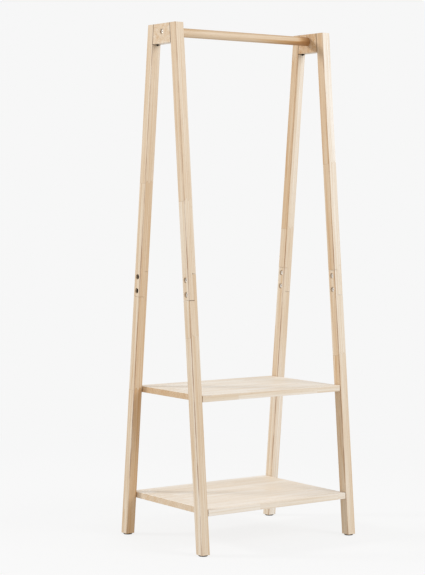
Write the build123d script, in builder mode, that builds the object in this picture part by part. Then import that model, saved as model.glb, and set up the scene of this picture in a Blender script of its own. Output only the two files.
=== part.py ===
from build123d import *
from math import atan, cos, radians, sin, tan
import os

# A free-standing clothes rack in finger-jointed hardwood. Two A-shaped end frames carry a round
# hanging rail at the top and two shelves lower down. Each leg comes in two lengths that are half
# lapped and bolted together at mid height, so that the rack packs flat.
#
# Millimetres. X runs along the rail, Y from front (-Y) to back, Z up. The origin is on the floor,
# in the middle of the rack. END is -1 for the left frame and +1 for the right one, and SIDE is -1
# for a front leg and +1 for a rear one.

os.makedirs("parts", exist_ok=True)

LEFT, RIGHT = -1, 1
FRONT, REAR = -1, 1
END_NAMES = {LEFT: "left", RIGHT: "right"}
SIDE_NAMES = {FRONT: "front", REAR: "rear"}

# --- Overall sizes ---
overall_width = 600.0  # over the outer faces of the two frames
overall_height = 1600.0  # floor to the tops of the legs
foot_spread = 444.0  # front to back over the legs, where their outer faces would meet the floor
head_spread = 147.0  # front to back over the legs, at their tops

# --- Timber sections ---
leg_width = 30.0  # along X
leg_thickness = 30.0  # square to the leg, front to back
edge_ease = 1.2  # radius on the long edges of the legs
block_height = 60.0  # head block, joining the two legs of a frame
rail_diameter = 28.0
rail_drop = 24.0  # rail axis below the leg tops
rail_end_chamfer = 1.0
shelf_thickness = 19.0
shelf_ease = 1.0
upper_shelf_height = 477.0  # floor to the top face
lower_shelf_height = 137.0
shelf_gap = 2.0  # between a shelf's end and the legs, filled by the fixings' collars

# --- Half lap in each leg ---
lap_centre = 802.0  # height on the leg's centre line
lap_length = 80.0
lap_share = 0.6  # part of the leg's width in the upper leg's tongue, which lies on the outer side
lap_gap = 0.6  # left open at each shoulder, so that the bolts pull the cheeks tight
lap_bolt_spacing = 44.0

# --- Recesses that the heads of bolts and cap nuts sit in ---
recess_diameter = 17.0
recess_depth = 4.5  # from the timber's face to the top of a head

# --- Connector bolts and their cap nuts, in the laps ---
connector_head_diameter = 15.0
connector_head_height = 2.4
connector_thread = 6.0
cap_barrel_diameter = 9.0
cap_floor = 0.5  # closed end of the cap nut, below its head's seat
connector_tip_gap = 1.5
barrel_end_gap = 2.0  # between a cap nut's barrel and the head of its bolt
bore_clearance = 0.2  # on the diameter of a drilled hole that a piece slides into
head_chamfer = 0.6
hex_across = 4.0
hex_depth = 1.6

# --- Rail bolts and the threaded inserts in the rail's ends ---
rail_bolt_head_diameter = 15.0
rail_bolt_head_height = 3.0
rail_bolt_thread = 6.0
rail_bolt_reach = 28.0  # into the rail
rail_bolt_clearance = 0.6
insert_diameter = 10.0
insert_length = 20.0

# --- Dowel and angled screw between each leg and its head block ---
dowel_diameter = 8.0
dowel_length = 32.0
dowel_drop = 17.0  # below the leg tops
dowel_end_gap = 1.0
toe_offset = 6.0  # middle of the pocket's mouth to the leg
toe_angle = 30.0  # from the vertical
toe_pocket_diameter = 9.4
toe_pocket_depth = 0.8  # shallow, so the screw's head stands out of it
toe_head_diameter = 8.5
toe_head_height = 4.4
toe_shank_diameter = 4.0
toe_shank_length = 32.0

# --- Cam fixings of the shelves ---
cam_bolt_thread = 7.0
cam_bolt_depth = 12.0  # into the leg
cam_collar_diameter = 10.0
cam_shank_diameter = 6.0
cam_shank_length = 34.0  # from the shelf's end to the cam's axis
cam_bore_diameter = 7.0
cam_diameter = 15.0
cam_height = 13.0
cam_slot_width = 1.6
cam_slot_depth = 1.2

# --- Foot glides ---
glide_diameter = 28.0
glide_height = 4.0
glide_round = 1.2
glide_screw_thread = 3.5
glide_screw_length = 18.0
glide_screw_head_diameter = 7.0
glide_screw_head_height = 2.0
glide_screw_recess = 0.6

lean = atan((foot_spread - head_spread) / 2 / overall_height)
leg_run = leg_thickness / cos(lean)  # depth of a leg measured level
rail_height = overall_height - rail_drop
block_bottom = overall_height - block_height
lap_low = lap_centre - lap_length / 2
lap_high = lap_centre + lap_length / 2
connector_seat = recess_depth + connector_head_height
rail_bolt_seat = recess_depth + rail_bolt_head_height
lap_outer = lap_share * leg_width
cap_barrel_length = leg_width - 2 * connector_seat - barrel_end_gap


# --- Geometry that the pieces share ---
def outer_y(height):
    """Distance from the middle of the rack to a leg's outer face."""
    return foot_spread / 2 - height * tan(lean)


def inner_y(height):
    return outer_y(height) - leg_run


def axis_y(height):
    return outer_y(height) - leg_run / 2


def on_leg(side, height, across):
    """A (y, z) point on the square cut through the leg's centre line at this height."""
    return (side * (axis_y(height) + across * cos(lean)), height + across * sin(lean))


def x_at(end, depth):
    """The place along X that lies this deep behind the frame's outer face."""
    return end * (overall_width / 2 - depth)


def facing(end, depth, y, z, outward=True):
    """A plane across X, looking away from the rack's middle, or towards it."""
    return Plane(
        origin=(x_at(end, depth), y, z),
        x_dir=(0, 1, 0),
        z_dir=(end if outward else -end, 0, 0),
    )


def turned(place, outline, mode=Mode.ADD):
    """Revolve an outline of (radius, height) points about the plane's Z direction."""
    section = Plane(origin=place.origin, x_dir=place.x_dir, z_dir=-place.y_dir)
    with BuildSketch(section) as profile:
        with BuildLine():
            Polyline(*outline, close=True)
        make_face()
    revolve(profile.sketch, axis=Axis(place.origin, place.z_dir), mode=mode)


def bored(place, diameter, depth, start=0.0):
    """Drill against the plane's Z direction, from its origin or from `start` above it."""
    radius = diameter / 2
    turned(place, [(0, start), (radius, start), (radius, -depth), (0, -depth)], Mode.SUBTRACT)


def hex_socket(place, height):
    with BuildSketch(place.offset(height)) as hexagon:
        RegularPolygon(hex_across / 2, 6, major_radius=False)
    extrude(hexagon.sketch, amount=-hex_depth, mode=Mode.SUBTRACT)


def slab(end, depth, width, outline, mode=Mode.ADD):
    """Extrude a (y, z) outline along X, from this deep behind the frame's outer face."""
    with BuildSketch(Plane.YZ.offset(x_at(end, depth))) as profile:
        with BuildLine():
            Polyline(*outline, close=True)
        make_face()
    extrude(profile.sketch, amount=-end * width, mode=mode)


def low_head(head_diameter, head_height):
    """The top of a flat, chamfered round head, from its centre to its seat."""
    radius = head_diameter / 2
    return [
        (0, head_height),
        (radius - head_chamfer, head_height),
        (radius, head_height - head_chamfer),
        (radius, 0),
    ]


def save(piece, name):
    piece.part.label = name
    export_step(piece.part, f"parts/{name}.step")


# --- Where the fixings stand ---
def lap_bolt_points(side):
    """The (y, z) places of a lap's two bolts, on the leg's centre line."""
    half = lap_bolt_spacing / 2 * cos(lean)
    return [on_leg(side, lap_centre - half, 0), on_leg(side, lap_centre + half, 0)]


def dowel_place(end, side):
    """Plane at the joint between leg and head block, looking out of the leg's inner face."""
    y, z = on_leg(side, overall_height - dowel_drop, -leg_thickness / 2)
    return Plane(
        origin=(x_at(end, leg_width / 2), y, z),
        x_dir=(1, 0, 0),
        z_dir=(0, -side * cos(lean), -sin(lean)),
    )


def toe_place(end, side):
    """Plane at the mouth of an angled pocket, looking down and away from the leg."""
    tilt = radians(toe_angle)
    return Plane(
        origin=(x_at(end, leg_width / 2), side * (inner_y(block_bottom) - toe_offset), block_bottom),
        x_dir=(1, 0, 0),
        z_dir=(0, -side * sin(tilt), -cos(tilt)),
    )


def shelf_fixing_places(shelf_height):
    """(end, y, z) of each cam bolt, in the middle of a leg and of the shelf's thickness."""
    middle = shelf_height - shelf_thickness / 2
    return [(end, side * axis_y(middle), middle) for end in (LEFT, RIGHT) for side in (FRONT, REAR)]


def toe_cut(end, side):
    """The pocket and pilot hole, drilled through block and leg in one go."""
    bored(toe_place(end, side), toe_pocket_diameter, toe_pocket_depth, start=toe_pocket_diameter)
    bored(toe_place(end, side), toe_shank_diameter, toe_pocket_depth + toe_shank_length)


def dowel_cut(end, side):
    """One bore across the joint, half in the block and half in the leg."""
    reach = dowel_length / 2 + dowel_end_gap
    bored(dowel_place(end, side), dowel_diameter, reach, start=reach)


def ease_long_edges(leg, side):
    along_leg = Axis((0, 0, 0), (0, -side * sin(lean), cos(lean)))
    fillet(leg.edges().filter_by(along_leg), radius=edge_ease)


# --- Legs ---
def make_upper_leg(end, side):
    with BuildPart() as leg:
        low = lap_low + lap_gap
        slab(end, 0, leg_width, [
            on_leg(side, low, -leg_thickness / 2),
            on_leg(side, low, leg_thickness / 2),
            (side * outer_y(overall_height), overall_height),
            (side * inner_y(overall_height), overall_height),
        ])
        ease_long_edges(leg, side)
        slab(end, lap_outer, leg_width, [
            on_leg(side, lap_low, -leg_thickness),
            on_leg(side, lap_low, leg_thickness),
            on_leg(side, lap_high, leg_thickness),
            on_leg(side, lap_high, -leg_thickness),
        ], Mode.SUBTRACT)
        for y, z in lap_bolt_points(side):
            bored(facing(end, 0, y, z), cap_barrel_diameter + bore_clearance, leg_width)
            bored(facing(end, 0, y, z), recess_diameter, connector_seat)
        dowel_cut(end, side)
        toe_cut(end, side)
    save(leg, f"upper_leg_{SIDE_NAMES[side]}_{END_NAMES[end]}")


def make_lower_leg(end, side):
    with BuildPart() as leg:
        high = lap_high - lap_gap
        slab(end, 0, leg_width, [
            (side * inner_y(glide_height), glide_height),
            (side * outer_y(glide_height), glide_height),
            on_leg(side, high, leg_thickness / 2),
            on_leg(side, high, -leg_thickness / 2),
        ])
        ease_long_edges(leg, side)
        slab(end, 0, lap_outer, [
            on_leg(side, lap_low, -leg_thickness),
            on_leg(side, lap_low, leg_thickness),
            on_leg(side, lap_high, leg_thickness),
            on_leg(side, lap_high, -leg_thickness),
        ], Mode.SUBTRACT)
        for y, z in lap_bolt_points(side):
            bored(facing(end, 0, y, z), cap_barrel_diameter + bore_clearance, leg_width)
            bored(facing(end, leg_width, y, z, outward=False), recess_diameter, connector_seat)
        for shelf_height in (upper_shelf_height, lower_shelf_height):
            middle = shelf_height - shelf_thickness / 2
            place = facing(end, leg_width, side * axis_y(middle), middle, outward=False)
            bored(place, cam_bolt_thread, cam_bolt_depth)
        foot = Plane(origin=(x_at(end, leg_width / 2), side * axis_y(glide_height), 0), z_dir=(0, 0, -1))
        bored(foot, glide_screw_thread, glide_screw_recess + glide_screw_length)
    save(leg, f"lower_leg_{SIDE_NAMES[side]}_{END_NAMES[end]}")


# --- Head block ---
def make_head_block(end):
    with BuildPart() as block:
        slab(end, 0, leg_width, [
            (-inner_y(block_bottom), block_bottom),
            (inner_y(block_bottom), block_bottom),
            (inner_y(overall_height), overall_height),
            (-inner_y(overall_height), overall_height),
        ])
        bored(facing(end, 0, 0, rail_height), rail_bolt_thread + rail_bolt_clearance, leg_width)
        bored(facing(end, 0, 0, rail_height), recess_diameter, rail_bolt_seat)
        for side in (FRONT, REAR):
            dowel_cut(end, side)
            toe_cut(end, side)
    save(block, f"head_block_{END_NAMES[end]}")


def make_head_dowels(end):
    radius = dowel_diameter / 2
    half = dowel_length / 2
    with BuildPart() as dowels:
        for side in (FRONT, REAR):
            turned(dowel_place(end, side), [
                (0, -half),
                (radius - head_chamfer, -half),
                (radius, head_chamfer - half),
                (radius, half - head_chamfer),
                (radius - head_chamfer, half),
                (0, half),
            ])
    save(dowels, f"head_dowels_{END_NAMES[end]}")


def make_head_screws(end):
    seat = -toe_pocket_depth
    shank = toe_shank_diameter / 2
    tip = seat - toe_shank_length
    with BuildPart() as screws:
        for side in (FRONT, REAR):
            place = toe_place(end, side)
            turned(place, [
                (0, seat + toe_head_height),
                (toe_head_diameter / 2 - head_chamfer, seat + toe_head_height),
                (toe_head_diameter / 2, seat + toe_head_height - head_chamfer),
                (toe_head_diameter / 2, seat),
                (shank, seat),
                (shank, tip + toe_shank_diameter),
                (0, tip),
            ])
            hex_socket(place, seat + toe_head_height)
    save(screws, f"head_screws_{END_NAMES[end]}")


# --- Hanging rail and its fixings ---
def make_rail():
    length = overall_width - 2 * leg_width
    with BuildPart() as rail:
        with BuildSketch(Plane.YZ.offset(x_at(LEFT, leg_width))):
            with Locations((0, rail_height)):
                Circle(rail_diameter / 2)
        extrude(amount=length)
        chamfer(rail.edges().filter_by(GeomType.CIRCLE), length=rail_end_chamfer)
        for end in (LEFT, RIGHT):
            mouth = facing(end, leg_width, 0, rail_height)
            bored(mouth, insert_diameter, insert_length)
            bored(mouth, rail_bolt_thread + rail_bolt_clearance, rail_bolt_reach + connector_tip_gap)
    save(rail, "hanging_rail")


def make_rail_bolt(end):
    radius = rail_bolt_thread / 2
    tip = rail_bolt_seat - leg_width - rail_bolt_reach
    place = facing(end, rail_bolt_seat, 0, rail_height)
    with BuildPart() as bolt:
        turned(place, low_head(rail_bolt_head_diameter, rail_bolt_head_height) + [
            (radius, 0),
            (radius, tip + head_chamfer),
            (radius - head_chamfer, tip),
            (0, tip),
        ])
        hex_socket(place, rail_bolt_head_height)
    save(bolt, f"rail_bolt_{END_NAMES[end]}")


def make_rail_insert(end):
    inner = rail_bolt_thread / 2
    outer = insert_diameter / 2
    with BuildPart() as insert:
        turned(facing(end, leg_width, 0, rail_height), [
            (inner, 0),
            (outer, 0),
            (outer, -insert_length),
            (inner, -insert_length),
        ])
    save(insert, f"rail_insert_{END_NAMES[end]}")


# --- Bolts and cap nuts of the laps ---
def make_lap_bolts(end, side):
    radius = connector_thread / 2
    tip = 2 * connector_seat + cap_floor + connector_tip_gap - leg_width
    with BuildPart() as bolts:
        for y, z in lap_bolt_points(side):
            place = facing(end, connector_seat, y, z)
            turned(place, low_head(connector_head_diameter, connector_head_height) + [
                (radius, 0),
                (radius, tip + head_chamfer),
                (radius - head_chamfer, tip),
                (0, tip),
            ])
            hex_socket(place, connector_head_height)
    save(bolts, f"lap_bolts_{SIDE_NAMES[side]}_{END_NAMES[end]}")


def make_lap_cap_nuts(end, side):
    inner = connector_thread / 2
    outer = cap_barrel_diameter / 2
    with BuildPart() as nuts:
        for y, z in lap_bolt_points(side):
            place = facing(end, leg_width - connector_seat, y, z, outward=False)
            turned(place, low_head(connector_head_diameter, connector_head_height) + [
                (outer, 0),
                (outer, -cap_barrel_length),
                (inner, -cap_barrel_length),
                (inner, -cap_floor),
                (0, -cap_floor),
            ])
            hex_socket(place, connector_head_height)
    save(nuts, f"lap_cap_nuts_{SIDE_NAMES[side]}_{END_NAMES[end]}")


# --- Shelves and their cam fixings ---
def cam_place(end, y, shelf_height):
    """Plane at the mouth of a cam's pocket, in the underside of a shelf, looking down."""
    depth = leg_width + shelf_gap + cam_shank_length
    return Plane(origin=(x_at(end, depth), y, shelf_height - shelf_thickness), z_dir=(0, 0, -1))


def make_shelf(name, shelf_height):
    middle = shelf_height - shelf_thickness / 2
    length = overall_width - 2 * (leg_width + shelf_gap)
    with BuildPart() as shelf:
        with BuildSketch(Plane.XY.offset(shelf_height)):
            Rectangle(length, 2 * outer_y(middle))
        extrude(amount=-shelf_thickness)
        fillet(shelf.edges(), radius=shelf_ease)
        for end, y, z in shelf_fixing_places(shelf_height):
            bored(facing(end, leg_width + shelf_gap, y, z), cam_bore_diameter, cam_shank_length)
            bored(cam_place(end, y, shelf_height), cam_diameter + bore_clearance, cam_height)
    save(shelf, name)


def make_cam_bolts(name, shelf_height):
    thread = cam_bolt_thread / 2
    collar = cam_collar_diameter / 2
    shank = cam_shank_diameter / 2
    tip = shelf_gap + cam_shank_length
    with BuildPart() as bolts:
        for end, y, z in shelf_fixing_places(shelf_height):
            turned(facing(end, leg_width, y, z, outward=False), [
                (0, -cam_bolt_depth),
                (thread, -cam_bolt_depth),
                (thread, 0),
                (collar, 0),
                (collar, shelf_gap),
                (shank, shelf_gap),
                (shank, tip),
                (0, tip),
            ])
    save(bolts, name)


def make_cams(name, shelf_height):
    radius = cam_diameter / 2
    with BuildPart() as cams:
        for end, y, z in shelf_fixing_places(shelf_height):
            place = cam_place(end, y, shelf_height)
            turned(place, [(0, 0), (radius, 0), (radius, -cam_height), (0, -cam_height)])
            # The bolt's head enters from the shelf's end and stops at the cam's axis.
            with BuildSketch(place) as slots:
                Rectangle(cam_diameter, cam_slot_width)
                Rectangle(cam_slot_width, cam_diameter)
            extrude(slots.sketch, amount=-cam_slot_depth, mode=Mode.SUBTRACT)
            entry = facing(end, leg_width + shelf_gap, y, z)
            bored(entry, cam_bore_diameter, cam_shank_length)
    save(cams, name)


# --- Foot glides ---
def make_foot_glide(end, side):
    radius = glide_diameter / 2
    hole = glide_screw_thread / 2 + bore_clearance / 2
    head = glide_screw_head_diameter / 2
    seat = glide_screw_recess + glide_screw_head_height
    y = side * axis_y(glide_height)
    with BuildPart() as glide:
        turned(Plane(origin=(x_at(end, leg_width / 2), y, 0)), [
            (hole, seat),
            (head, glide_screw_recess),
            (head, 0),
            (radius - glide_round, 0),
            (radius, glide_round),
            (radius, glide_height),
            (hole, glide_height),
        ])
    save(glide, f"foot_glide_{SIDE_NAMES[side]}_{END_NAMES[end]}")


def make_glide_screws():
    shank = glide_screw_thread / 2
    head = glide_screw_head_diameter / 2
    seat = glide_screw_recess + glide_screw_head_height
    tip = glide_screw_recess + glide_screw_length
    with BuildPart() as screws:
        for end in (LEFT, RIGHT):
            for side in (FRONT, REAR):
                y = side * axis_y(glide_height)
                turned(Plane(origin=(x_at(end, leg_width / 2), y, 0)), [
                    (0, glide_screw_recess),
                    (head, glide_screw_recess),
                    (shank, seat),
                    (shank, tip - glide_screw_thread),
                    (0, tip),
                ])
    save(screws, "glide_screws")


for end in (LEFT, RIGHT):
    make_head_block(end)
    make_head_dowels(end)
    make_head_screws(end)
    make_rail_bolt(end)
    make_rail_insert(end)
    for side in (FRONT, REAR):
        make_upper_leg(end, side)
        make_lower_leg(end, side)
        make_lap_bolts(end, side)
        make_lap_cap_nuts(end, side)
        make_foot_glide(end, side)
make_rail()
make_glide_screws()
for level, shelf_height in (("upper", upper_shelf_height), ("lower", lower_shelf_height)):
    make_shelf(f"{level}_shelf", shelf_height)
    make_cam_bolts(f"{level}_shelf_cam_bolts", shelf_height)
    make_cams(f"{level}_shelf_cams", shelf_height)
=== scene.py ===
# %% [markdown]
# # A clothes rack in pale hardwood
# Two A-shaped frames of finger-jointed hardwood carry a round hanging rail and two shelves made
# of glued staves. Bolts in the middle of each leg let the rack pack flat. The shapes come from
# the CAD frame, so this lesson is about finishes: how to paint believable timber, plated metal
# and moulded plastic with nothing but procedural nodes.

# %% Load the frame
import math

import bpy
from mathutils import Matrix, Vector


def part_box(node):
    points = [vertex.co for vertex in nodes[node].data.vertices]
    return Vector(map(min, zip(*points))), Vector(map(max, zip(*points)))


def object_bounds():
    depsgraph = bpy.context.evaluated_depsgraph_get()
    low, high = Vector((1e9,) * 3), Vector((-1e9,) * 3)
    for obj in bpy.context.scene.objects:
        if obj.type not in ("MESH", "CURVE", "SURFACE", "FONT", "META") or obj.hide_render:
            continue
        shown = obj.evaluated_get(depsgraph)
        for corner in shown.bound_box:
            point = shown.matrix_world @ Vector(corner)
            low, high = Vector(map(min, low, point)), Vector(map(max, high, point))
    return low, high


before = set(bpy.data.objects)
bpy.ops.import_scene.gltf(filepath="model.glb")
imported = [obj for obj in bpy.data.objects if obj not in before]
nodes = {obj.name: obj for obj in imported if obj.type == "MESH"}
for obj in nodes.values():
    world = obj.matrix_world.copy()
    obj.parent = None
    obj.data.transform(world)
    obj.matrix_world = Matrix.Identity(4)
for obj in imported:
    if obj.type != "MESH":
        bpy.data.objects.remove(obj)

cad_low, cad_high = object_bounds()
print("pieces in the frame:", len(nodes))
print("rack measures", [round(side, 3) for side in cad_high - cad_low], "m")

# %% [markdown]
# ## Driving sizes
# Everything painted on the timber has to know where the timber is. The rack's height and the
# places of its blocks and shelves are read from the frame. The stance of the legs takes two
# numbers, the spread at the floor and the spread at the head, and from them come the lean and
# the line along each leg that the grain has to follow.

# %% Driving sizes
LEFT, RIGHT = -1, 1
FRONT, REAR = -1, 1
END_NAMES = {LEFT: "left", RIGHT: "right"}
SIDE_NAMES = {FRONT: "front", REAR: "rear"}
MM = 0.001

rack_height = cad_high.z
foot_spread = 444 * MM
head_spread = 147 * MM
leg_thickness = 30 * MM
lap_tongue = 18 * MM
lap_centre = 802 * MM
lap_length = 80 * MM

lean = math.atan((foot_spread - head_spread) / 2 / rack_height)
leg_low, leg_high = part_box("upper_leg_front_left")
leg_width = leg_high.x - leg_low.x
outer_face = abs(leg_low.x)
axis_at_floor = foot_spread / 2 - leg_thickness / math.cos(lean) / 2
block_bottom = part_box("head_block_left")[0].z
print("legs lean", round(math.degrees(lean), 2), "degrees")


def up_the_leg(height):
    """Distance from the floor, measured along the leg's centre line."""
    return height / math.cos(lean)


# %% [markdown]
# ## The camera
# The rack is seen from its front left corner, from just over a metre up, with a long lens more
# than five metres away, so its upright lines stay almost parallel. A camera can be aimed with a
# Track To constraint, but writing out its three axes keeps its slight roll exact and easy to
# read.

# %% The camera
stand_off = 5.418
bearing = math.radians(36.73)
eye_height = 1.0727
heading = math.radians(35.830)
dip = math.radians(3.0126)
roll = math.radians(0.2275)
lens_length = 107.3
sensor = 36.0

ahead = Vector((
    math.sin(heading) * math.cos(dip),
    math.cos(heading) * math.cos(dip),
    -math.sin(dip),
))
level_right = Vector((math.cos(heading), -math.sin(heading), 0))
level_up = level_right.cross(ahead)
right = math.cos(roll) * level_right + math.sin(roll) * level_up
up = math.cos(roll) * level_up - math.sin(roll) * level_right

camera_data = bpy.data.cameras.new("studio_camera")
camera_data.lens = lens_length
camera_data.sensor_width = sensor
camera = bpy.data.objects.new("studio_camera", camera_data)
stand = Vector((-math.sin(bearing) * stand_off, -math.cos(bearing) * stand_off, eye_height))
camera.matrix_world = Matrix.Translation(stand) @ Matrix((right, up, -ahead)).transposed().to_4x4()
bpy.context.scene.collection.objects.link(camera)
bpy.context.scene.camera = camera
print("camera stands at", [round(value, 3) for value in stand])

# %% [markdown]
# ## Small helpers for node trees
# Node trees written in code soon turn into a wall of links. A few small helpers keep them
# readable: one puts a node in a tree, one feeds a socket with either a link or a number, and the
# rest wrap the kinds of node that come back most. All the finishes below are made with them.

# %% Small helpers for node trees
def put(tree, kind, **settings):
    node = tree.nodes.new("ShaderNode" + kind)
    for name, value in settings.items():
        setattr(node, name, value)
    return node


def feed(tree, socket, value):
    if isinstance(value, bpy.types.NodeSocket):
        tree.links.new(value, socket)
    else:
        socket.default_value = value


def calc(tree, operation, *values):
    node = put(tree, "Math", operation=operation)
    for socket, value in zip(node.inputs, values):
        feed(tree, socket, value)
    return node.outputs[0]


def vector_calc(tree, operation, *values):
    node = put(tree, "VectorMath", operation=operation)
    for socket, value in zip(node.inputs, values):
        feed(tree, socket, value)
    return node.outputs["Value" if operation in ("DOT_PRODUCT", "LENGTH") else "Vector"]


def ramp_up(tree, value, start, end, low=0.0, high=1.0):
    """A smooth step from low to high as the value goes from start to end."""
    node = put(tree, "MapRange", interpolation_type="SMOOTHSTEP")
    for name, given in zip(("Value", "From Min", "From Max", "To Min", "To Max"),
                           (value, start, end, low, high)):
        feed(tree, node.inputs[name], given)
    return node.outputs["Result"]


def blend_values(tree, share, first, second):
    """A Mix node's sockets share their names, so they are picked by place: factor, then A and B."""
    node = put(tree, "Mix", data_type="FLOAT")
    for place, value in zip((0, 2, 3), (share, first, second)):
        feed(tree, node.inputs[place], value)
    return node.outputs[0]


def noise(tree, place, detail=2.0, roughness=0.5, scale=1.0):
    node = put(tree, "TexNoise")
    feed(tree, node.inputs["Vector"], place)
    feed(tree, node.inputs["Scale"], scale)
    feed(tree, node.inputs["Detail"], detail)
    feed(tree, node.inputs["Roughness"], roughness)
    return node.outputs["Fac"]


def spread(tree, place, across, along):
    """Stretches a place so that a pattern made from it is fine across and long along Z."""
    return vector_calc(tree, "MULTIPLY", place, (across, across, along))


# %% [markdown]
# ## Shades and shared groups
# A shade is easiest to judge as it looks on a screen, but a renderer adds up light, so every
# shade goes through one conversion. An effect that several finishes share is built once, as a
# node group with named sockets, and placed in each material with its own values.

# %% Shades and shared groups
def shade(red, green, blue):
    """A colour given as it looks on a screen, 0 to 255, turned into the linear light Blender uses."""
    parts = [part / 255 for part in (red, green, blue)]
    linear = [part / 12.92 if part <= 0.04045 else ((part + 0.055) / 1.055) ** 2.4 for part in parts]
    return (*linear, 1.0)


def blend_colours(tree, share, first, second, way="MIX"):
    node = put(tree, "Mix", data_type="RGBA", blend_type=way)
    for place, value in zip((0, 6, 7), (share, first, second)):
        feed(tree, node.inputs[place], value)
    return node.outputs[2]


def new_group(name, inputs, outputs):
    """A shader node group with named sockets. Each input is (name, kind, value)."""
    tree = bpy.data.node_groups.new(name, "ShaderNodeTree")
    for label, kind, value in inputs:
        socket = tree.interface.new_socket(label, in_out="INPUT", socket_type="NodeSocket" + kind)
        socket.default_value = value
    for label, kind in outputs:
        tree.interface.new_socket(label, in_out="OUTPUT", socket_type="NodeSocket" + kind)
    entry = tree.nodes.new("NodeGroupInput")
    leave = tree.nodes.new("NodeGroupOutput")
    return tree, entry.outputs, leave.inputs


def use_group(tree, group, **given):
    """Places a group and feeds it. Underscores in a name stand for spaces."""
    node = put(tree, "Group", node_tree=group)
    for name, value in given.items():
        feed(tree, node.inputs[name.replace("_", " ")], value)
    return node.outputs


# %% [markdown]
# ## Timber, part one: the figure
# A plank is a slice of a solid log, so its figure is best painted in three dimensions: growth
# rings are cylinders round a pith, and a flat face cuts them into long streaks while an end
# shows them as arcs. The group takes a place whose Z runs along the grain and gives four masks:
# rings, fine streaks, slow drift of tone, and the short dark pores of a pale tropical hardwood.
# An image texture would need unwrapping and would repeat; this one never does.

# %% Timber figure group
figure_group, given, result = new_group(
    "timber_figure",
    [("Place", "Vector", (0, 0, 0)), ("Pith", "Vector", (0.05, 0.08, 0)),
     ("Ring Pitch", "Float", 0.006), ("Seed", "Float", 0.0)],
    [("Rings", "Float"), ("Streaks", "Float"), ("Drift", "Float"), ("Pores", "Float")],
)
# How fine each noise is: across the grain, then along it.
warp_scale, drift_scale = (26, 1.8), (60, 2.4)
streak_scale, pore_scale = (430, 4.5), (1700, 70)
seed_direction = (1.7, 2.3, 3.1)
ring_waver = 22 * MM
late_wood_bias = 3.0
pore_start, pore_full = 0.66, 0.74

seed_step = vector_calc(figure_group, "SCALE", seed_direction)
seed_node = seed_step.node
feed(figure_group, seed_node.inputs["Scale"], given["Seed"])
moved = vector_calc(figure_group, "ADD", given["Place"], seed_step)

warp = noise(figure_group, spread(figure_group, moved, *warp_scale), detail=2)
from_pith = vector_calc(figure_group, "SUBTRACT", given["Place"], given["Pith"])
flat = vector_calc(figure_group, "MULTIPLY", from_pith, (1, 1, 0))
radius = vector_calc(figure_group, "LENGTH", flat)
wavy = calc(figure_group, "MULTIPLY_ADD", warp, ring_waver, radius)
phase = calc(figure_group, "DIVIDE", wavy, given["Ring Pitch"])
year = calc(figure_group, "FRACT", phase)
late_wood = calc(figure_group, "POWER", year, late_wood_bias)
feed(figure_group, result["Rings"], late_wood)

streaks = noise(figure_group, spread(figure_group, moved, *streak_scale), detail=3, roughness=0.6)
feed(figure_group, result["Streaks"], streaks)
drift = noise(figure_group, spread(figure_group, moved, *drift_scale), detail=2)
feed(figure_group, result["Drift"], drift)
pore_noise = noise(figure_group, spread(figure_group, moved, *pore_scale), detail=1)
feed(figure_group, result["Pores"], ramp_up(figure_group, pore_noise, pore_start, pore_full))
print("timber figure group:", len(figure_group.nodes), "nodes")

# %% [markdown]
# ## Timber, part two: finger joints
# Long legs without knots are made by cutting out the flaws and gluing the clear lengths end to
# end with interlocking fingers. On one pair of faces the joint is a zigzag, on the other a short
# straight line, and the tone changes there because the next length came from another board. The
# group says how far up the leg a place is past the joint, and draws the thin glue line.

# %% Finger joint group
joint_blur = 0.4 * MM
glue_core, glue_edge = 0.2 * MM, 0.9 * MM

finger_group, given, result = new_group(
    "finger_joint",
    [("Place", "Vector", (0, 0, 0)), ("Joint", "Float", 1.0),
     ("Finger Pitch", "Float", 0.0075), ("Finger Length", "Float", 0.010)],
    [("Above", "Float"), ("Glue Line", "Float")],
)
split = put(finger_group, "SeparateXYZ")
feed(finger_group, split.inputs[0], given["Place"])
zigzag = calc(finger_group, "PINGPONG", split.outputs["X"], given["Finger Pitch"])
share = calc(finger_group, "DIVIDE", zigzag, given["Finger Pitch"])
rise = calc(finger_group, "MULTIPLY", share, given["Finger Length"])
joint_line = calc(finger_group, "ADD", given["Joint"], rise)
past = calc(finger_group, "SUBTRACT", split.outputs["Z"], joint_line)
feed(finger_group, result["Above"], ramp_up(finger_group, past, -joint_blur, joint_blur))
off_line = calc(finger_group, "ABSOLUTE", past)
feed(finger_group, result["Glue Line"], ramp_up(finger_group, off_line, glue_core, glue_edge, 1.0, 0.0))
print("finger joint group:", len(finger_group.nodes), "nodes")

# %% [markdown]
# ## Timber, part three: sapwood and heartwood
# One stick can be cream on one face and tan on the next, where the saw crossed from sapwood into
# heartwood. The border follows the grain and wanders a little. The group mixes two tones about a
# border plane that runs along the stick.

# %% Heartwood group
wander_scale = (40, 6)
border_waver = 4 * MM
border_blur = 4 * MM

heart_group, given, result = new_group(
    "heartwood_border",
    [("Place", "Vector", (0, 0, 0)), ("Sapwood Tone", "Float", 0.3), ("Heartwood Tone", "Float", 0.5),
     ("Direction", "Vector", (1, 0, 0)), ("Border", "Float", -0.0125), ("Seed", "Float", 0.0)],
    [("Tone", "Float")],
)
seed_place = put(heart_group, "CombineXYZ")
feed(heart_group, seed_place.inputs["X"], given["Seed"])
wander_place = vector_calc(heart_group, "ADD", given["Place"], seed_place.outputs[0])
wander = noise(heart_group, spread(heart_group, wander_place, *wander_scale), detail=3)
depth = vector_calc(heart_group, "DOT_PRODUCT", given["Place"], given["Direction"])
wandered = calc(heart_group, "MULTIPLY_ADD", wander, border_waver, depth)
past_border = calc(heart_group, "SUBTRACT", wandered, given["Border"])
inside = ramp_up(heart_group, past_border, 0.0, border_blur)
feed(heart_group, result["Tone"],
     blend_values(heart_group, inside, given["Sapwood Tone"], given["Heartwood Tone"]))
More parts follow.
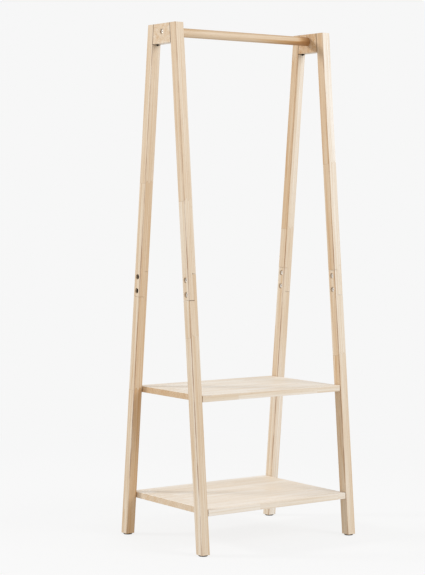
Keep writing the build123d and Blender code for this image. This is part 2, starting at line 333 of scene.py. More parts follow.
print("heartwood group:", len(heart_group.nodes), "nodes")

# %% [markdown]
# ## Timber, part four: glued staves
# A shelf is a panel of narrow staves glued edge to edge, each stave itself a run of shorter
# lengths. The group cuts the panel into such lengths, gives every length a chance tone and a
# shift that starts its grain somewhere else in the log, and marks the glue lines between them.

# %% Glued staves group
row_stagger = 5.0
stave_glue_core, stave_glue_edge = 0.1 * MM, 0.7 * MM

stave_group, given, result = new_group(
    "glued_staves",
    [("Place", "Vector", (0, 0, 0)), ("Stave Width", "Float", 0.044),
     ("Stave Length", "Float", 0.31), ("Seed", "Float", 0.0)],
    [("Tone", "Float"), ("Shift", "Vector"), ("Glue Line", "Float")],
)
split = put(stave_group, "SeparateXYZ")
feed(stave_group, split.inputs[0], given["Place"])
across = calc(stave_group, "DIVIDE", split.outputs["Y"], given["Stave Width"])
row = calc(stave_group, "FLOOR", across)
seeded_row = calc(stave_group, "ADD", row, given["Seed"])
row_chance = put(stave_group, "TexWhiteNoise", noise_dimensions="1D")
feed(stave_group, row_chance.inputs["W"], seeded_row)
along = calc(stave_group, "DIVIDE", split.outputs["Z"], given["Stave Length"])
staggered = calc(stave_group, "MULTIPLY_ADD", row_chance.outputs["Value"], row_stagger, along)
column = calc(stave_group, "FLOOR", staggered)
cell = put(stave_group, "CombineXYZ")
feed(stave_group, cell.inputs["X"], seeded_row)
feed(stave_group, cell.inputs["Y"], column)
cell_chance = put(stave_group, "TexWhiteNoise", noise_dimensions="3D")
feed(stave_group, cell_chance.inputs["Vector"], cell.outputs[0])
feed(stave_group, result["Tone"], cell_chance.outputs["Value"])
feed(stave_group, result["Shift"], cell_chance.outputs["Color"])
row_edge = calc(stave_group, "PINGPONG", across, 0.5)
row_gap = calc(stave_group, "MULTIPLY", row_edge, given["Stave Width"])
end_edge = calc(stave_group, "PINGPONG", staggered, 0.5)
end_gap = calc(stave_group, "MULTIPLY", end_edge, given["Stave Length"])
nearest = calc(stave_group, "MINIMUM", row_gap, end_gap)
feed(stave_group, result["Glue Line"],
     ramp_up(stave_group, nearest, stave_glue_core, stave_glue_edge, 1.0, 0.0))
print("glued staves group:", len(stave_group.nodes), "nodes")

# %% [markdown]
# ## Timber, part five: seams and arrises
# Where two pieces meet there is a hairline of shadow, and along every eased arris the lacquer
# lies a little thicker and takes dirt from hands. The seam group turns a distance into a soft
# dark line. The arris group compares the true face with a slightly rounded one, which differ
# only near an edge, and breaks the result up so that the edge looks handled, not outlined.

# %% Seam and arris groups
bevel_samples = 6
arris_radius = 1.6 * MM
edge_start = 0.995
arris_full = 0.90
patch_scale = 60

seam_group, given, result = new_group(
    "seam_shade",
    [("Distance", "Float", 1.0), ("Half Width", "Float", 0.0006), ("Softness", "Float", 0.0012)],
    [("Mask", "Float")],
)
gap = calc(seam_group, "ABSOLUTE", given["Distance"])
fade_end = calc(seam_group, "ADD", given["Half Width"], given["Softness"])
feed(seam_group, result["Mask"], ramp_up(seam_group, gap, given["Half Width"], fade_end, 1.0, 0.0))

arris_group, given, result = new_group(
    "arris_wear",
    [("Place", "Vector", (0, 0, 0)), ("Break Up", "Float", 0.5)],
    [("Mask", "Float")],
)
rounded = put(arris_group, "Bevel", samples=bevel_samples)
rounded.inputs["Radius"].default_value = arris_radius
true_face = put(arris_group, "NewGeometry")
agreement = vector_calc(arris_group, "DOT_PRODUCT", rounded.outputs["Normal"], true_face.outputs["Normal"])
edge = ramp_up(arris_group, agreement, edge_start, arris_full)
patchy = noise(arris_group, given["Place"], detail=3, scale=patch_scale)
kept = calc(arris_group, "MULTIPLY", patchy, given["Break Up"])
feed(arris_group, result["Mask"], calc(arris_group, "MULTIPLY", edge, kept))
print("seam and arris groups:", len(seam_group.nodes) + len(arris_group.nodes), "nodes")

# %% [markdown]
# ## Timber, part six: end grain
# Cut across the grain, timber is a bundle of open tubes: it drinks the lacquer and looks browner
# than the faces beside it. The group asks how nearly a face points along the grain.

# %% End grain group
square_start, square_full = 0.75, 0.95

end_grain_group, given, result = new_group(
    "end_grain",
    [("Facing", "Vector", (0, 0, 1)), ("Grain", "Vector", (0, 0, 1))],
    [("Mask", "Float")],
)
along_grain = vector_calc(end_grain_group, "DOT_PRODUCT", given["Facing"], given["Grain"])
squareness = calc(end_grain_group, "ABSOLUTE", along_grain)
feed(end_grain_group, result["Mask"], ramp_up(end_grain_group, squareness, square_start, square_full))
print("end grain group:", len(end_grain_group.nodes), "nodes")

# %% [markdown]
# ## Timber, part seven: from masks to colour
# All the timber is the same species, so one group turns the masks into colour, roughness and
# height. A single tone number runs from cream sapwood through straw to brown heartwood. Streaks
# and rings push it a little, pores and seams darken it, and the satin lacquer is a touch rougher
# over open pores. Keeping this in one group makes every piece look cut from one batch.

# %% Timber colour group
colour_group, given, result = new_group(
    "timber_colour",
    [("Tone", "Float", 0.4), ("Rings", "Float", 0.0), ("Streaks", "Float", 0.5),
     ("Drift", "Float", 0.5), ("Pores", "Float", 0.0), ("Seam", "Float", 0.0),
     ("Arris", "Float", 0.0), ("Figure Strength", "Float", 1.0)],
    [("Colour", "Color"), ("Roughness", "Float"), ("Height", "Float")],
)
ring_reach = 0.16
streak_reach = 0.56
drift_reach = 0.44
pore_strength = 0.35
arris_strength = 0.85
lacquer_rough, streak_rough, pore_rough, arris_rough = 0.42, 0.16, 0.18, -0.08

ring_push = calc(colour_group, "MULTIPLY", given["Rings"], ring_reach)
streak_push = calc(colour_group, "MULTIPLY_ADD", given["Streaks"], streak_reach, -streak_reach / 2)
drift_push = calc(colour_group, "MULTIPLY_ADD", given["Drift"], drift_reach, -drift_reach / 2)
push = calc(colour_group, "ADD", calc(colour_group, "ADD", ring_push, streak_push), drift_push)
tone = calc(colour_group, "MULTIPLY_ADD", push, given["Figure Strength"], given["Tone"])
timber_ramp = put(colour_group, "ValToRGB")
feed(colour_group, timber_ramp.inputs["Fac"], tone)
tone_stops = {
    0.0: shade(246, 239, 229),
    0.25: shade(230, 213, 190),
    0.5: shade(215, 186, 151),
    0.75: shade(199, 157, 108),
    1.0: shade(172, 124, 76),
}
stops = timber_ramp.color_ramp.elements
for place in list(tone_stops)[1:-1]:
    stops.new(place)
for stop, (place, colour) in zip(stops, tone_stops.items()):
    stop.position = place
    stop.color = colour
pore_tint = calc(colour_group, "MULTIPLY", given["Pores"], pore_strength)
with_pores = blend_colours(colour_group, pore_tint, timber_ramp.outputs["Color"], shade(150, 112, 78))
arris_tint = calc(colour_group, "MULTIPLY", given["Arris"], arris_strength)
with_arris = blend_colours(colour_group, arris_tint, with_pores, shade(158, 112, 74))
with_seam = blend_colours(colour_group, given["Seam"], with_arris, shade(112, 80, 54))
feed(colour_group, result["Colour"], with_seam)

rough = calc(colour_group, "MULTIPLY_ADD", given["Streaks"], streak_rough, lacquer_rough)
rougher = calc(colour_group, "MULTIPLY_ADD", given["Pores"], pore_rough, rough)
feed(colour_group, result["Roughness"],
     calc(colour_group, "MULTIPLY_ADD", given["Arris"], arris_rough, rougher))
relief = calc(colour_group, "MULTIPLY_ADD", given["Pores"], -1.0, given["Streaks"])
feed(colour_group, result["Height"], calc(colour_group, "MULTIPLY_ADD", given["Seam"], -2.0, relief))
print("timber colour group:", len(colour_group.nodes), "nodes")


# %% [markdown]
# ## Timber, part eight: a whole material
# A satin lacquer is a thin clear coat, so a timber material ends in one shader with a little
# coat. The helpers open a material, turn a place so that its Z runs along the grain, and close
# the material by joining the groups. One closing helper keeps every piece of timber lacquered alike.

# %% Start and close a timber material
def start_material(name):
    material = bpy.data.materials.new(name)
    material.use_nodes = True
    tree = material.node_tree
    tree.nodes.clear()
    surface = put(tree, "BsdfPrincipled")
    output = put(tree, "OutputMaterial")
    tree.links.new(surface.outputs["BSDF"], output.inputs["Surface"])
    return material, tree, surface


def timber_place(tree, turn=(0, 0, 0), centre=(0, 0, 0)):
    """The place on the piece, turned so that Z runs along its grain and moved to its centre."""
    where = put(tree, "TexCoord")
    mapping = put(tree, "Mapping")
    feed(tree, mapping.inputs["Vector"], where.outputs["Object"])
    mapping.inputs["Rotation"].default_value = turn
    mapping.inputs["Location"].default_value = centre
    return mapping.outputs["Vector"]


def raise_grain(tree, surface, height, depth, strength=0.35):
    bump = put(tree, "Bump")
    bump.inputs["Strength"].default_value = strength
    bump.inputs["Distance"].default_value = depth
    feed(tree, bump.inputs["Height"], height)
    feed(tree, surface.inputs["Normal"], bump.outputs["Normal"])


def end_grain(tree, grain=(1, 0, 0)):
    facing = put(tree, "TexCoord").outputs["Normal"]
    return use_group(tree, end_grain_group, Facing=facing, Grain=grain)["Mask"]


coat_weight = 0.12
coat_rough = 0.35
timber_gloss = 0.35
grain_depth = 0.15 * MM


def lacquer(tree, surface, place, tone, seam=0.0, seed=0.0, pith=(0.05, 0.08, 0), ring_pitch=0.006,
            figure_strength=1.0, brown_line=0.0):
    """Closes a timber material: figure, colour, relief and a thin satin lacquer."""
    figure = use_group(tree, figure_group, Place=place, Pith=pith, Ring_Pitch=ring_pitch, Seed=seed)
    arris = use_group(tree, arris_group, Place=place)
    browned = calc(tree, "MAXIMUM", arris["Mask"], brown_line)
    colour = use_group(
        tree, colour_group, Tone=tone, Rings=figure["Rings"], Streaks=figure["Streaks"],
        Drift=figure["Drift"], Pores=figure["Pores"], Seam=seam, Arris=browned,
        Figure_Strength=figure_strength,
    )
    feed(tree, surface.inputs["Base Color"], colour["Colour"])
    feed(tree, surface.inputs["Roughness"], colour["Roughness"])
    raise_grain(tree, surface, colour["Height"], depth=grain_depth)
    surface.inputs["Specular IOR Level"].default_value = timber_gloss
    surface.inputs["Coat Weight"].default_value = coat_weight
    surface.inputs["Coat Roughness"].default_value = coat_rough


def finish_piece(name, material):
    """Gives a CAD piece its finish."""
    slots = nodes[name].data.materials
    slots.clear()
    slots.append(material)
    print("finished", name, "with", material.name)


# %% [markdown]
# ## The legs
# Each leg is two lengths, half lapped and bolted. The place is turned by the lean, so the grain
# climbs the leg and does not cut across it. Every length has its own joint height and its own
# tones, lighter or browner as boards are, and its own seed, so no two legs share a figure.

# %% Seams of the half laps and head blocks
seam_blur = 0.5 * MM
corner_fade = 2 * MM
shoulder_on_face, upper_shoulder, parting_share = 0.15, 0.4, 0.3
block_seam_strength = 0.8
arris_line_strength = 0.9
line_patch_scale = (20, 9)
line_faint = 0.15


def lap_seams(tree, place, end, strength):
    """Hairlines of shadow round the lap: two shoulders, the split between them and its ends."""
    split = put(tree, "SeparateXYZ")
    feed(tree, split.inputs[0], place)
    low = up_the_leg(lap_centre) - lap_length / 2
    high = up_the_leg(lap_centre) + lap_length / 2
    parting = end * (leg_width / 2 - lap_tongue)
    outward = calc(tree, "MULTIPLY_ADD", split.outputs["X"], end, -end * parting)
    outer_share = ramp_up(tree, outward, -seam_blur, seam_blur)
    inner_share = calc(tree, "SUBTRACT", 1.0, outer_share)
    off_outer_face = ramp_up(tree, outward, lap_tongue, lap_tongue - corner_fade, shoulder_on_face, 1.0)
    from_low = calc(tree, "SUBTRACT", split.outputs["Z"], low)
    from_high = calc(tree, "SUBTRACT", split.outputs["Z"], high)
    low_line = use_group(tree, seam_group, Distance=from_low)["Mask"]
    high_line = use_group(tree, seam_group, Distance=from_high)["Mask"]
    from_centre = calc(tree, "ABSOLUTE", calc(tree, "SUBTRACT", split.outputs["Z"], up_the_leg(lap_centre)))
    within = ramp_up(tree, from_centre, lap_length / 2 + seam_blur, lap_length / 2 - seam_blur)
    parting_line = use_group(tree, seam_group, Distance=outward,
                             Half_Width=0.2 * MM, Softness=0.6 * MM)["Mask"]
    pieces = [
        calc(tree, "MULTIPLY", low_line, calc(tree, "MULTIPLY", outer_share, off_outer_face)),
        calc(tree, "MULTIPLY", high_line, calc(tree, "MULTIPLY", inner_share, upper_shoulder)),
        calc(tree, "MULTIPLY", parting_line, calc(tree, "MULTIPLY", within, parting_share)),
    ]
    for level in (from_low, from_high):
        spot_place = put(tree, "CombineXYZ")
        feed(tree, spot_place.inputs["X"], outward)
        feed(tree, spot_place.inputs["Z"], level)
        spot = vector_calc(tree, "LENGTH", spot_place.outputs[0])
        spot_mask = use_group(tree, seam_group, Distance=spot,
                              Half_Width=1 * MM, Softness=2.2 * MM)["Mask"]
        pieces.append(spot_mask)
    total = pieces[0]
    for piece in pieces[1:]:
        total = calc(tree, "MAXIMUM", total, piece)
    return calc(tree, "MULTIPLY", total, strength)


def block_seam(tree, place, side):
    """The dark line where a head block meets the inner face of a leg."""
    split = put(tree, "SeparateXYZ")
    feed(tree, split.inputs[0], place)
    from_joint = calc(tree, "ADD", split.outputs["Y"], side * leg_thickness / 2)
    line = use_group(tree, seam_group, Distance=from_joint,
                     Half_Width=0.8 * MM, Softness=1.6 * MM)["Mask"]
    joint_foot = up_the_leg(block_bottom)
    above = ramp_up(tree, split.outputs["Z"], joint_foot - corner_fade, joint_foot)
    return calc(tree, "MULTIPLY", line, calc(tree, "MULTIPLY", above, block_seam_strength))


def arris_line(tree, place):
    """A brown line down each leg's front left arris; it comes and goes."""
    split = put(tree, "SeparateXYZ")
    feed(tree, split.inputs[0], place)
    from_arris = put(tree, "CombineXYZ")
    feed(tree, from_arris.inputs["X"], calc(tree, "ADD", split.outputs["X"], leg_width / 2))
    feed(tree, from_arris.inputs["Y"], calc(tree, "ADD", split.outputs["Y"], leg_thickness / 2))
    distance = vector_calc(tree, "LENGTH", from_arris.outputs[0])
    line = use_group(tree, seam_group, Distance=distance,
                     Half_Width=1 * MM, Softness=2 * MM)["Mask"]
    coming_and_going = noise(tree, spread(tree, place, *line_patch_scale))
    patches = ramp_up(tree, coming_and_going, 0.38, 0.62, line_faint, 1.0)
    return calc(tree, "MULTIPLY", line, calc(tree, "MULTIPLY", patches, arris_line_strength))


# %% [markdown]
# ## One leg length
# A length of leg brings the groups together: two heartwood borders, one on each side of the
# finger joint, then the lap's seams and the brown line on its arris. A material made by hand for
# each of the eight lengths would look the same; a function keeps them alike where they should be.

# %% Finish one leg length
leg_seam_tint = 0.25
board_seed_step = 4.3
leg_ring_pitch = 6.5 * MM
pith_near, pith_step, pith_side = 45 * MM, 4 * MM, 30 * MM


def finish_leg(end, side, level, joint, below, above, seed, lap_shade=0.07):
    """below and above are (sapwood tone, heartwood tone) on each side of the finger joint."""
    name = f"{level}_leg_{SIDE_NAMES[side]}_{END_NAMES[end]}"
    material, tree, surface = start_material(f"leg_timber_{level}_{SIDE_NAMES[side]}_{END_NAMES[end]}")
    centre_x = end * (outer_face - leg_width / 2)
    place = timber_place(
        tree,
        turn=(-side * lean, 0, 0),
        centre=(-centre_x, -side * axis_at_floor * math.cos(lean), axis_at_floor * math.sin(lean)),
    )
    joint_masks = use_group(tree, finger_group, Place=place, Joint=up_the_leg(joint))
    tones = [
        use_group(tree, heart_group, Place=place, Sapwood_Tone=sapwood, Heartwood_Tone=heartwood,
                  Seed=seed + number)["Tone"]
        for number, (sapwood, heartwood) in enumerate((below, above))
    ]
    tone = blend_values(tree, joint_masks["Above"], *tones)
    board_seed = calc(tree, "MULTIPLY_ADD", joint_masks["Above"], board_seed_step, seed)
    glue = calc(tree, "MULTIPLY", joint_masks["Glue Line"], leg_seam_tint)
    seam = calc(tree, "MAXIMUM", glue, lap_seams(tree, place, end, lap_shade))
    if level == "upper":
        seam = calc(tree, "MAXIMUM", seam, block_seam(tree, place, side))
    pith = (pith_near + seed * pith_step, side * pith_side, 0)
    lacquer(tree, surface, place, tone, seam, seed=board_seed, pith=pith,
            ring_pitch=leg_ring_pitch, brown_line=arris_line(tree, place))
    finish_piece(name, material)


# %% The lower leg lengths
finish_leg(LEFT, FRONT, "lower", 0.650, (0.28, 0.34), (0.30, 0.32), seed=1.0, lap_shade=0.6)
finish_leg(LEFT, REAR, "lower", 0.466, (0.34, 0.58), (0.30, 0.42), seed=2.0)
finish_leg(RIGHT, FRONT, "lower", 0.570, (0.42, 0.26), (0.36, 0.20), seed=3.0)
finish_leg(RIGHT, REAR, "lower", 0.460, (0.22, 0.10), (0.30, 0.24), seed=4.0)

# %% The upper leg lengths
finish_leg(LEFT, FRONT, "upper", 1.060, (0.28, 0.30), (0.38, 0.30), seed=5.0, lap_shade=0.6)
finish_leg(LEFT, REAR, "upper", 1.115, (0.32, 0.42), (0.34, 0.30), seed=6.0)
finish_leg(RIGHT, FRONT, "upper", 1.180, (0.46, 0.16), (0.48, 0.10), seed=7.0)
finish_leg(RIGHT, REAR, "upper", 0.970, (0.38, 0.24), (0.50, 0.16), seed=8.0)

# %% [markdown]
# ## The head blocks
# A head block is a short offcut turned across the frame, so its outer face shows end grain: the
# growth rings appear there as arcs. Turning the place so that Z runs across the rack is all it
# takes. The dark lines at the block's two ends are the glue joints with the legs. Its top and
# underside are painted paler; on the underside this is painted light that lifts the shade there.

# %% The head blocks
top_and_underside_lift = -0.3
block_ring_pitch = 4.2 * MM
block_figure = 1.5


def finish_block(end, tone, seed, pith):
    material, tree, surface = start_material(f"block_timber_{END_NAMES[end]}")
    place = timber_place(tree, turn=(0, -math.pi / 2, 0))
    seam = None
    for side in (FRONT, REAR):
        leg_place = timber_place(
            tree,
            turn=(-side * lean, 0, 0),
            centre=(0, -side * axis_at_floor * math.cos(lean), axis_at_floor * math.sin(lean)),
        )
        line = block_seam(tree, leg_place, side)
        seam = line if seam is None else calc(tree, "MAXIMUM", seam, line)
    # Painted light: the top and underside are paler, lifting the shade under the block.
    paler = calc(tree, "MULTIPLY_ADD", end_grain(tree, grain=(0, 0, 1)), top_and_underside_lift, tone)
    lacquer(tree, surface, place, paler, seam, seed=seed, pith=pith, ring_pitch=block_ring_pitch,
            figure_strength=block_figure)
    finish_piece(f"head_block_{END_NAMES[end]}", material)


finish_block(LEFT, 0.36, seed=11.0, pith=(-1.62, 0.03, 0))
finish_block(RIGHT, 0.56, seed=12.0, pith=(-1.50, 0.05, 0))

# %% [markdown]
# ## The hanging rail
# The rail is a turned dowel with its grain along its length. Its underside is painted browner as
# painted shade, deepening towards the right, and the last few centimetres of its right end, by the
# block, are painted dark as a painted contact shadow. Its top is a little darker.

# %% The hanging rail
material, tree, surface = start_material("rail_timber")
rail_low, rail_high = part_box("hanging_rail")
rail_axis = (rail_low.z + rail_high.z) / 2
place = timber_place(tree, turn=(0, -math.pi / 2, 0), centre=(rail_axis, 0, 0))
rail_radius = (rail_high.z - rail_low.z) / 2
end_shade_start = rail_high.x - 55 * MM
end_shade_full = rail_high.x - 22 * MM
on_rail = put(tree, "SeparateXYZ")
feed(tree, on_rail.inputs[0], put(tree, "TexCoord").outputs["Object"])
rail_tone, end_shade_tone = 0.38, 0.82
top_tone = 0.20
under_tone_middle, under_tone_right = 0.08, 0.7

# Painted shade: the underside, more so towards the right, and the end by the block are darker.
rise = calc(tree, "SUBTRACT", on_rail.outputs["Z"], rail_axis)
underside_shade = ramp_up(tree, rise, 0.15 * rail_radius, -0.6 * rail_radius)
darker_top = ramp_up(tree, rise, 0.5 * rail_radius, rail_radius, 0.0, top_tone)
rightward = ramp_up(tree, on_rail.outputs["X"], 0.0, rail_high.x, under_tone_middle, under_tone_right)
end_shade = ramp_up(tree, on_rail.outputs["X"], end_shade_start, end_shade_full, rail_tone, end_shade_tone)
browner = calc(tree, "MULTIPLY_ADD", underside_shade, rightward, end_shade)
tone = calc(tree, "ADD", browner, darker_top)
lacquer(tree, surface, place, tone, seed=21.0, pith=(0.03, 0.04, 0), ring_pitch=8 * MM)
finish_piece("hanging_rail", material)

# %% [markdown]
# ## The shelves
# The shelves are glued-up panels with their staves along the rack. The stave group gives each
# length its own tone, and its shift is added to the place before the figure is made, so the
# grain breaks at every glue line as it does in a real panel.

# %% The shelves
stave_variety = 0.10
stave_glue_tint = 0.12
corner_shade_start, corner_shade_full = 22 * MM, 10 * MM
rear_corner_shade_tone = 0.6
shelf_ring_pitch = 9 * MM
shelf_figure = 0.7


def finish_shelf(name, tone, end_tone, edge_tone, seed):
    """end_tone is added on the end grain, edge_tone on the long front and rear edges."""
    material, tree, surface = start_material(f"shelf_panel_{name}")
    place = timber_place(tree, turn=(0, -math.pi / 2, 0))
    staves = use_group(tree, stave_group, Place=place, Seed=seed)
    tone_now = calc(tree, "MULTIPLY_ADD", staves["Tone"], stave_variety, tone - stave_variety / 2)
    ends = end_grain(tree)
    tone_now = calc(tree, "MULTIPLY_ADD", ends, end_tone, tone_now)
    tone_now = calc(tree, "MULTIPLY_ADD", end_grain(tree, grain=(0, 1, 0)), edge_tone, tone_now)
    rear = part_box(name)[1].y
    split = put(tree, "SeparateXYZ")
    feed(tree, split.inputs[0], place)
    # Painted contact shadow: the end grain darkens towards the rear corner, where the shelf meets the rear
    # leg.
    rear_corner_shade = ramp_up(tree, split.outputs["Y"], rear - corner_shade_start, rear - corner_shade_full,
                          0.0, rear_corner_shade_tone)
    tone_now = calc(tree, "MULTIPLY_ADD", ends, rear_corner_shade, tone_now)
    shifted = vector_calc(tree, "ADD", place, staves["Shift"])
    glue = calc(tree, "MULTIPLY", staves["Glue Line"], stave_glue_tint)
    lacquer(tree, surface, shifted, tone_now, glue, seed=seed, pith=(0.5, 0.5, 0),
            ring_pitch=shelf_ring_pitch, figure_strength=shelf_figure)
    finish_piece(name, material)


finish_shelf("upper_shelf", 0.10, end_tone=0.42, edge_tone=0.12, seed=31.0)
finish_shelf("lower_shelf", 0.08, end_tone=0.27, edge_tone=0.05, seed=32.0)

# %% [markdown]
# ## The dowels
# The dowels between legs and blocks are plain beech, ribbed by nothing but their own grain, and
# hidden once the frame is glued. They still get real timber, because the model can be taken apart.

# %% The dowels
material, tree, surface = start_material("dowel_beech")
place = timber_place(tree, turn=(math.pi / 2, 0, 0))
lacquer(tree, surface, place, 0.45, seed=41.0, pith=(0.02, 0.03, 0), ring_pitch=3 * MM)
for end in (LEFT, RIGHT):
    finish_piece(f"head_dowels_{END_NAMES[end]}", material)

# %% [markdown]
# ## Plated and blackened metal
# Small fasteners are barrel plated in bulk: they come out with a fine tumbled texture and faint
# clouds in the plating. One group makes the clouds and the scuffs, and a painted shade that darkens
# every rim; each metal then has its own colours and roughness.

# %% Tumbled metal group, with painted rim shade
cloud_scale = 260
scuff_scale = 1900
scuff_start, scuff_full = 0.45, 0.75
rim_radius = 0.9 * MM
rim_full = 0.85

tumble_and_rim_shade_group, given, result = new_group(
    "tumble_and_rim_shade",
    [("Place", "Vector", (0, 0, 0)), ("Rim Shade", "Float", 0.5)],
    [("Clouds", "Float"), ("Scuffs", "Float"), ("Rim", "Float")],
)
feed(tumble_and_rim_shade_group, result["Clouds"], noise(tumble_and_rim_shade_group, given["Place"], detail=2, scale=cloud_scale))
scuff_noise = noise(tumble_and_rim_shade_group, given["Place"], detail=4, roughness=0.7, scale=scuff_scale)
feed(tumble_and_rim_shade_group, result["Scuffs"], ramp_up(tumble_and_rim_shade_group, scuff_noise, scuff_start, scuff_full))
# Painted shade: the rim mask darkens each fastener's edges.
rounded = put(tumble_and_rim_shade_group, "Bevel", samples=bevel_samples)
rounded.inputs["Radius"].default_value = rim_radius
true_face = put(tumble_and_rim_shade_group, "NewGeometry")
agreement = vector_calc(tumble_and_rim_shade_group, "DOT_PRODUCT", rounded.outputs["Normal"], true_face.outputs["Normal"])
rim = ramp_up(tumble_and_rim_shade_group, agreement, edge_start, rim_full)
feed(tumble_and_rim_shade_group, result["Rim"], calc(tumble_and_rim_shade_group, "MULTIPLY", rim, given["Rim Shade"]))
print("tumbled metal group:", len(tumble_and_rim_shade_group.nodes), "nodes")


# %% Metal finishes
metal_rim_shade = 0.5
tumble_depth = 0.02 * MM
tumble_strength = 0.2


def metal(name, bright, dull, low_rough, high_rough, metallic=1.0, gloss=0.5):
    material, tree, surface = start_material(name)
    where = put(tree, "TexCoord").outputs["Object"]
    tumble_and_shade = use_group(tree, tumble_and_rim_shade_group, Place=where, Rim_Shade=metal_rim_shade)
    clouded = blend_colours(tree, tumble_and_shade["Clouds"], bright, dull)
    # Painted shade on the rims.
    rim_shaded = blend_colours(tree, tumble_and_shade["Rim"], clouded, dull, way="MULTIPLY")
    feed(tree, surface.inputs["Base Color"], rim_shaded)
    worn = ramp_up(tree, tumble_and_shade["Scuffs"], 0.0, 1.0, low_rough, high_rough)
    feed(tree, surface.inputs["Roughness"], worn)
    raise_grain(tree, surface, tumble_and_shade["Scuffs"], depth=tumble_depth, strength=tumble_strength)
    surface.inputs["Metallic"].default_value = metallic
    surface.inputs["Specular IOR Level"].default_value = gloss
    return material


nickel = metal("nickel_hardware", shade(250, 248, 244), shade(226, 222, 216), 0.55, 0.7)
zinc = metal("zinc_fixing", shade(206, 210, 214), shade(160, 164, 170), 0.32, 0.5)
brass = metal("brass_insert", shade(226, 196, 130), shade(178, 142, 82), 0.28, 0.45)
black_oxide = metal("black_oxide", shade(18, 17, 16), shade(8, 8, 8), 0.55, 0.7,
                    metallic=0.0, gloss=0.1)

# %% [markdown]
# ## Which metal goes where
# Bolts and cap nuts are nickel plated, the threaded inserts are brass and the cams and their
# bolts are zinc. The rear left leg's two bolts and the screws under the head blocks are black.
# Each metal is one material shared by its fasteners, because they came out of the same barrel.

# %% Put the metals on the fasteners
for end in (LEFT, RIGHT):
    finish_piece(f"rail_bolt_{END_NAMES[end]}", nickel)
    finish_piece(f"rail_insert_{END_NAMES[end]}", brass)
    finish_piece(f"head_screws_{END_NAMES[end]}", black_oxide)
    for side in (FRONT, REAR):
        place_name = f"{SIDE_NAMES[side]}_{END_NAMES[end]}"
        blackened = end == LEFT and side == REAR
        finish_piece(f"lap_bolts_{place_name}", black_oxide if blackened else nickel)
        finish_piece(f"lap_cap_nuts_{place_name}", nickel)
for name in ("upper_shelf_cam_bolts", "lower_shelf_cam_bolts", "upper_shelf_cams",
             "lower_shelf_cams", "glide_screws"):
    finish_piece(name, zinc)

# %% [markdown]
# ## The foot glides
# The glides are moulded in dark brown plastic, matt from the tool and scuffed pale round the rim
# where they slide over a floor. A fine speckle gives the spark-eroded texture of the mould.

# %% The foot glides
material, tree, surface = start_material("glide_plastic")
where = put(tree, "TexCoord").outputs["Object"]
speckle_scale = 2400
scuff_tint = 0.5
mould_depth = 0.05 * MM
mould_strength = 0.3
mould_smooth, mould_rough = 0.5, 0.72

speckle = noise(tree, where, detail=3, roughness=0.6, scale=speckle_scale)
rubbed = use_group(tree, arris_group, Place=where, Break_Up=0.9)["Mask"]
mottled = blend_colours(tree, speckle, shade(40, 29, 24), shade(56, 42, 36))
scuffed = blend_colours(tree, calc(tree, "MULTIPLY", rubbed, scuff_tint), mottled, shade(110, 96, 86))
feed(tree, surface.inputs["Base Color"], scuffed)
feed(tree, surface.inputs["Roughness"], ramp_up(tree, speckle, 0.3, 0.7, mould_smooth, mould_rough))
raise_grain(tree, surface, speckle, depth=mould_depth, strength=mould_strength)
for end in (LEFT, RIGHT):
    for side in (FRONT, REAR):
        finish_piece(f"foot_glide_{SIDE_NAMES[side]}_{END_NAMES[end]}", material)

# %% [markdown]
# ## The studio
# The rack stands on a pale, back-lit sweep, as in a studio for furniture: the floor glows almost
# as bright as the wall, so only a ghost of a shadow is left. The floor mixes a glow with a little
# plain matt white near the rack, and lights the rack less than it shows. Two soft lamps do the
# rest: one at the rear left models the timber and throws the shadow, and a wider one, high on
# the front right, fills it.

# %% Floor and ambient light
wall_white = shade(247, 247, 247)
sweep_radius = 40.0
sweep_steps = 96
matt_share = 0.16
glow_near = 1.012
glow_on_rack = 0.72
matt_near = 1.0
matt_far = 2.4
ambient_strength = 0.73

sweep_mesh = bpy.data.meshes.new("studio_sweep")
rim = [
    (sweep_radius * math.cos(turn), sweep_radius * math.sin(turn), 0.0)
    for turn in [2 * math.pi * step / sweep_steps for step in range(sweep_steps)]
]
sweep_mesh.from_pydata(rim, [], [tuple(range(sweep_steps))])
sweep = bpy.data.objects.new("studio_sweep", sweep_mesh)
bpy.context.scene.collection.objects.link(sweep)

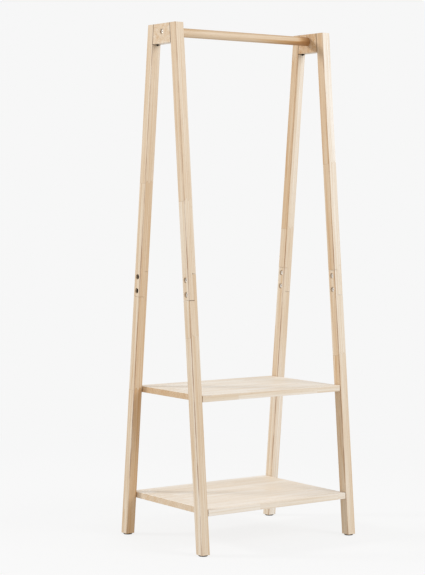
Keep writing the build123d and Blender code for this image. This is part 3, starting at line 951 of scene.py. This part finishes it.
sweep_material = bpy.data.materials.new("studio_sweep")
sweep_material.use_nodes = True
tree = sweep_material.node_tree
tree.nodes.clear()
ray = put(tree, "LightPath")
from_rack = vector_calc(tree, "LENGTH", put(tree, "TexCoord").outputs["Object"])
glow_seen = ramp_up(tree, from_rack, matt_near, matt_far, glow_near, 1.0)
glow = put(tree, "Emission")
glow.inputs["Color"].default_value = wall_white
feed(tree, glow.inputs["Strength"],
     blend_values(tree, ray.outputs["Is Camera Ray"], glow_on_rack, glow_seen))
matt = put(tree, "BsdfDiffuse")
matt.inputs["Color"].default_value = wall_white
both = put(tree, "MixShader")
feed(tree, both.inputs["Fac"], ramp_up(tree, from_rack, matt_near, matt_far, matt_share, 0.0))
feed(tree, both.inputs[1], glow.outputs[0])
feed(tree, both.inputs[2], matt.outputs[0])
feed(tree, put(tree, "OutputMaterial").inputs["Surface"], both.outputs[0])
sweep_mesh.materials.append(sweep_material)
print("floor reaches", sweep_radius, "m")

world = bpy.data.worlds.new("studio_world")
bpy.context.scene.world = world
world.use_nodes = True
tree = world.node_tree
tree.nodes.clear()
wall = put(tree, "Background")
wall.inputs["Color"].default_value = wall_white
ambient = put(tree, "Background")
ambient.inputs["Color"].default_value = wall_white
ambient.inputs["Strength"].default_value = ambient_strength
seen = put(tree, "LightPath")
either = put(tree, "MixShader")
feed(tree, either.inputs[0], seen.outputs["Is Camera Ray"])
feed(tree, either.inputs[1], ambient.outputs[0])
feed(tree, either.inputs[2], wall.outputs[0])
feed(tree, put(tree, "OutputWorld").inputs["Surface"], either.outputs[0])


# %% [markdown]
# ## The lamps
# A soft lamp is a broad one, so both are discs, more than a metre across. Each is turned by
# code to face a point on the rack, which is easier to change than three angles.

# %% Studio lamps
def soft_lamp(name, stand, aim, width, power):
    data = bpy.data.lights.new(name, "AREA")
    data.shape = "DISK"
    data.size = width
    data.energy = power
    lamp = bpy.data.objects.new(name, data)
    lamp.location = stand
    direction = Vector(aim) - Vector(stand)
    lamp.rotation_euler = direction.to_track_quat("-Z", "Y").to_euler()
    bpy.context.scene.collection.objects.link(lamp)
    print(name, "stands", round(direction.length, 2), "m from what it lights")


soft_lamp("window_lamp", (-4.4, 3.1, 3.4), (0, 0, 0.6), width=1.3, power=140)
soft_lamp("front_lamp", (1.9, -4.0, 3.1), (0, 0, 1.0), width=2.4, power=93)

scene = bpy.context.scene
scene.view_settings.view_transform = "Standard"
scene.view_settings.look = "None"
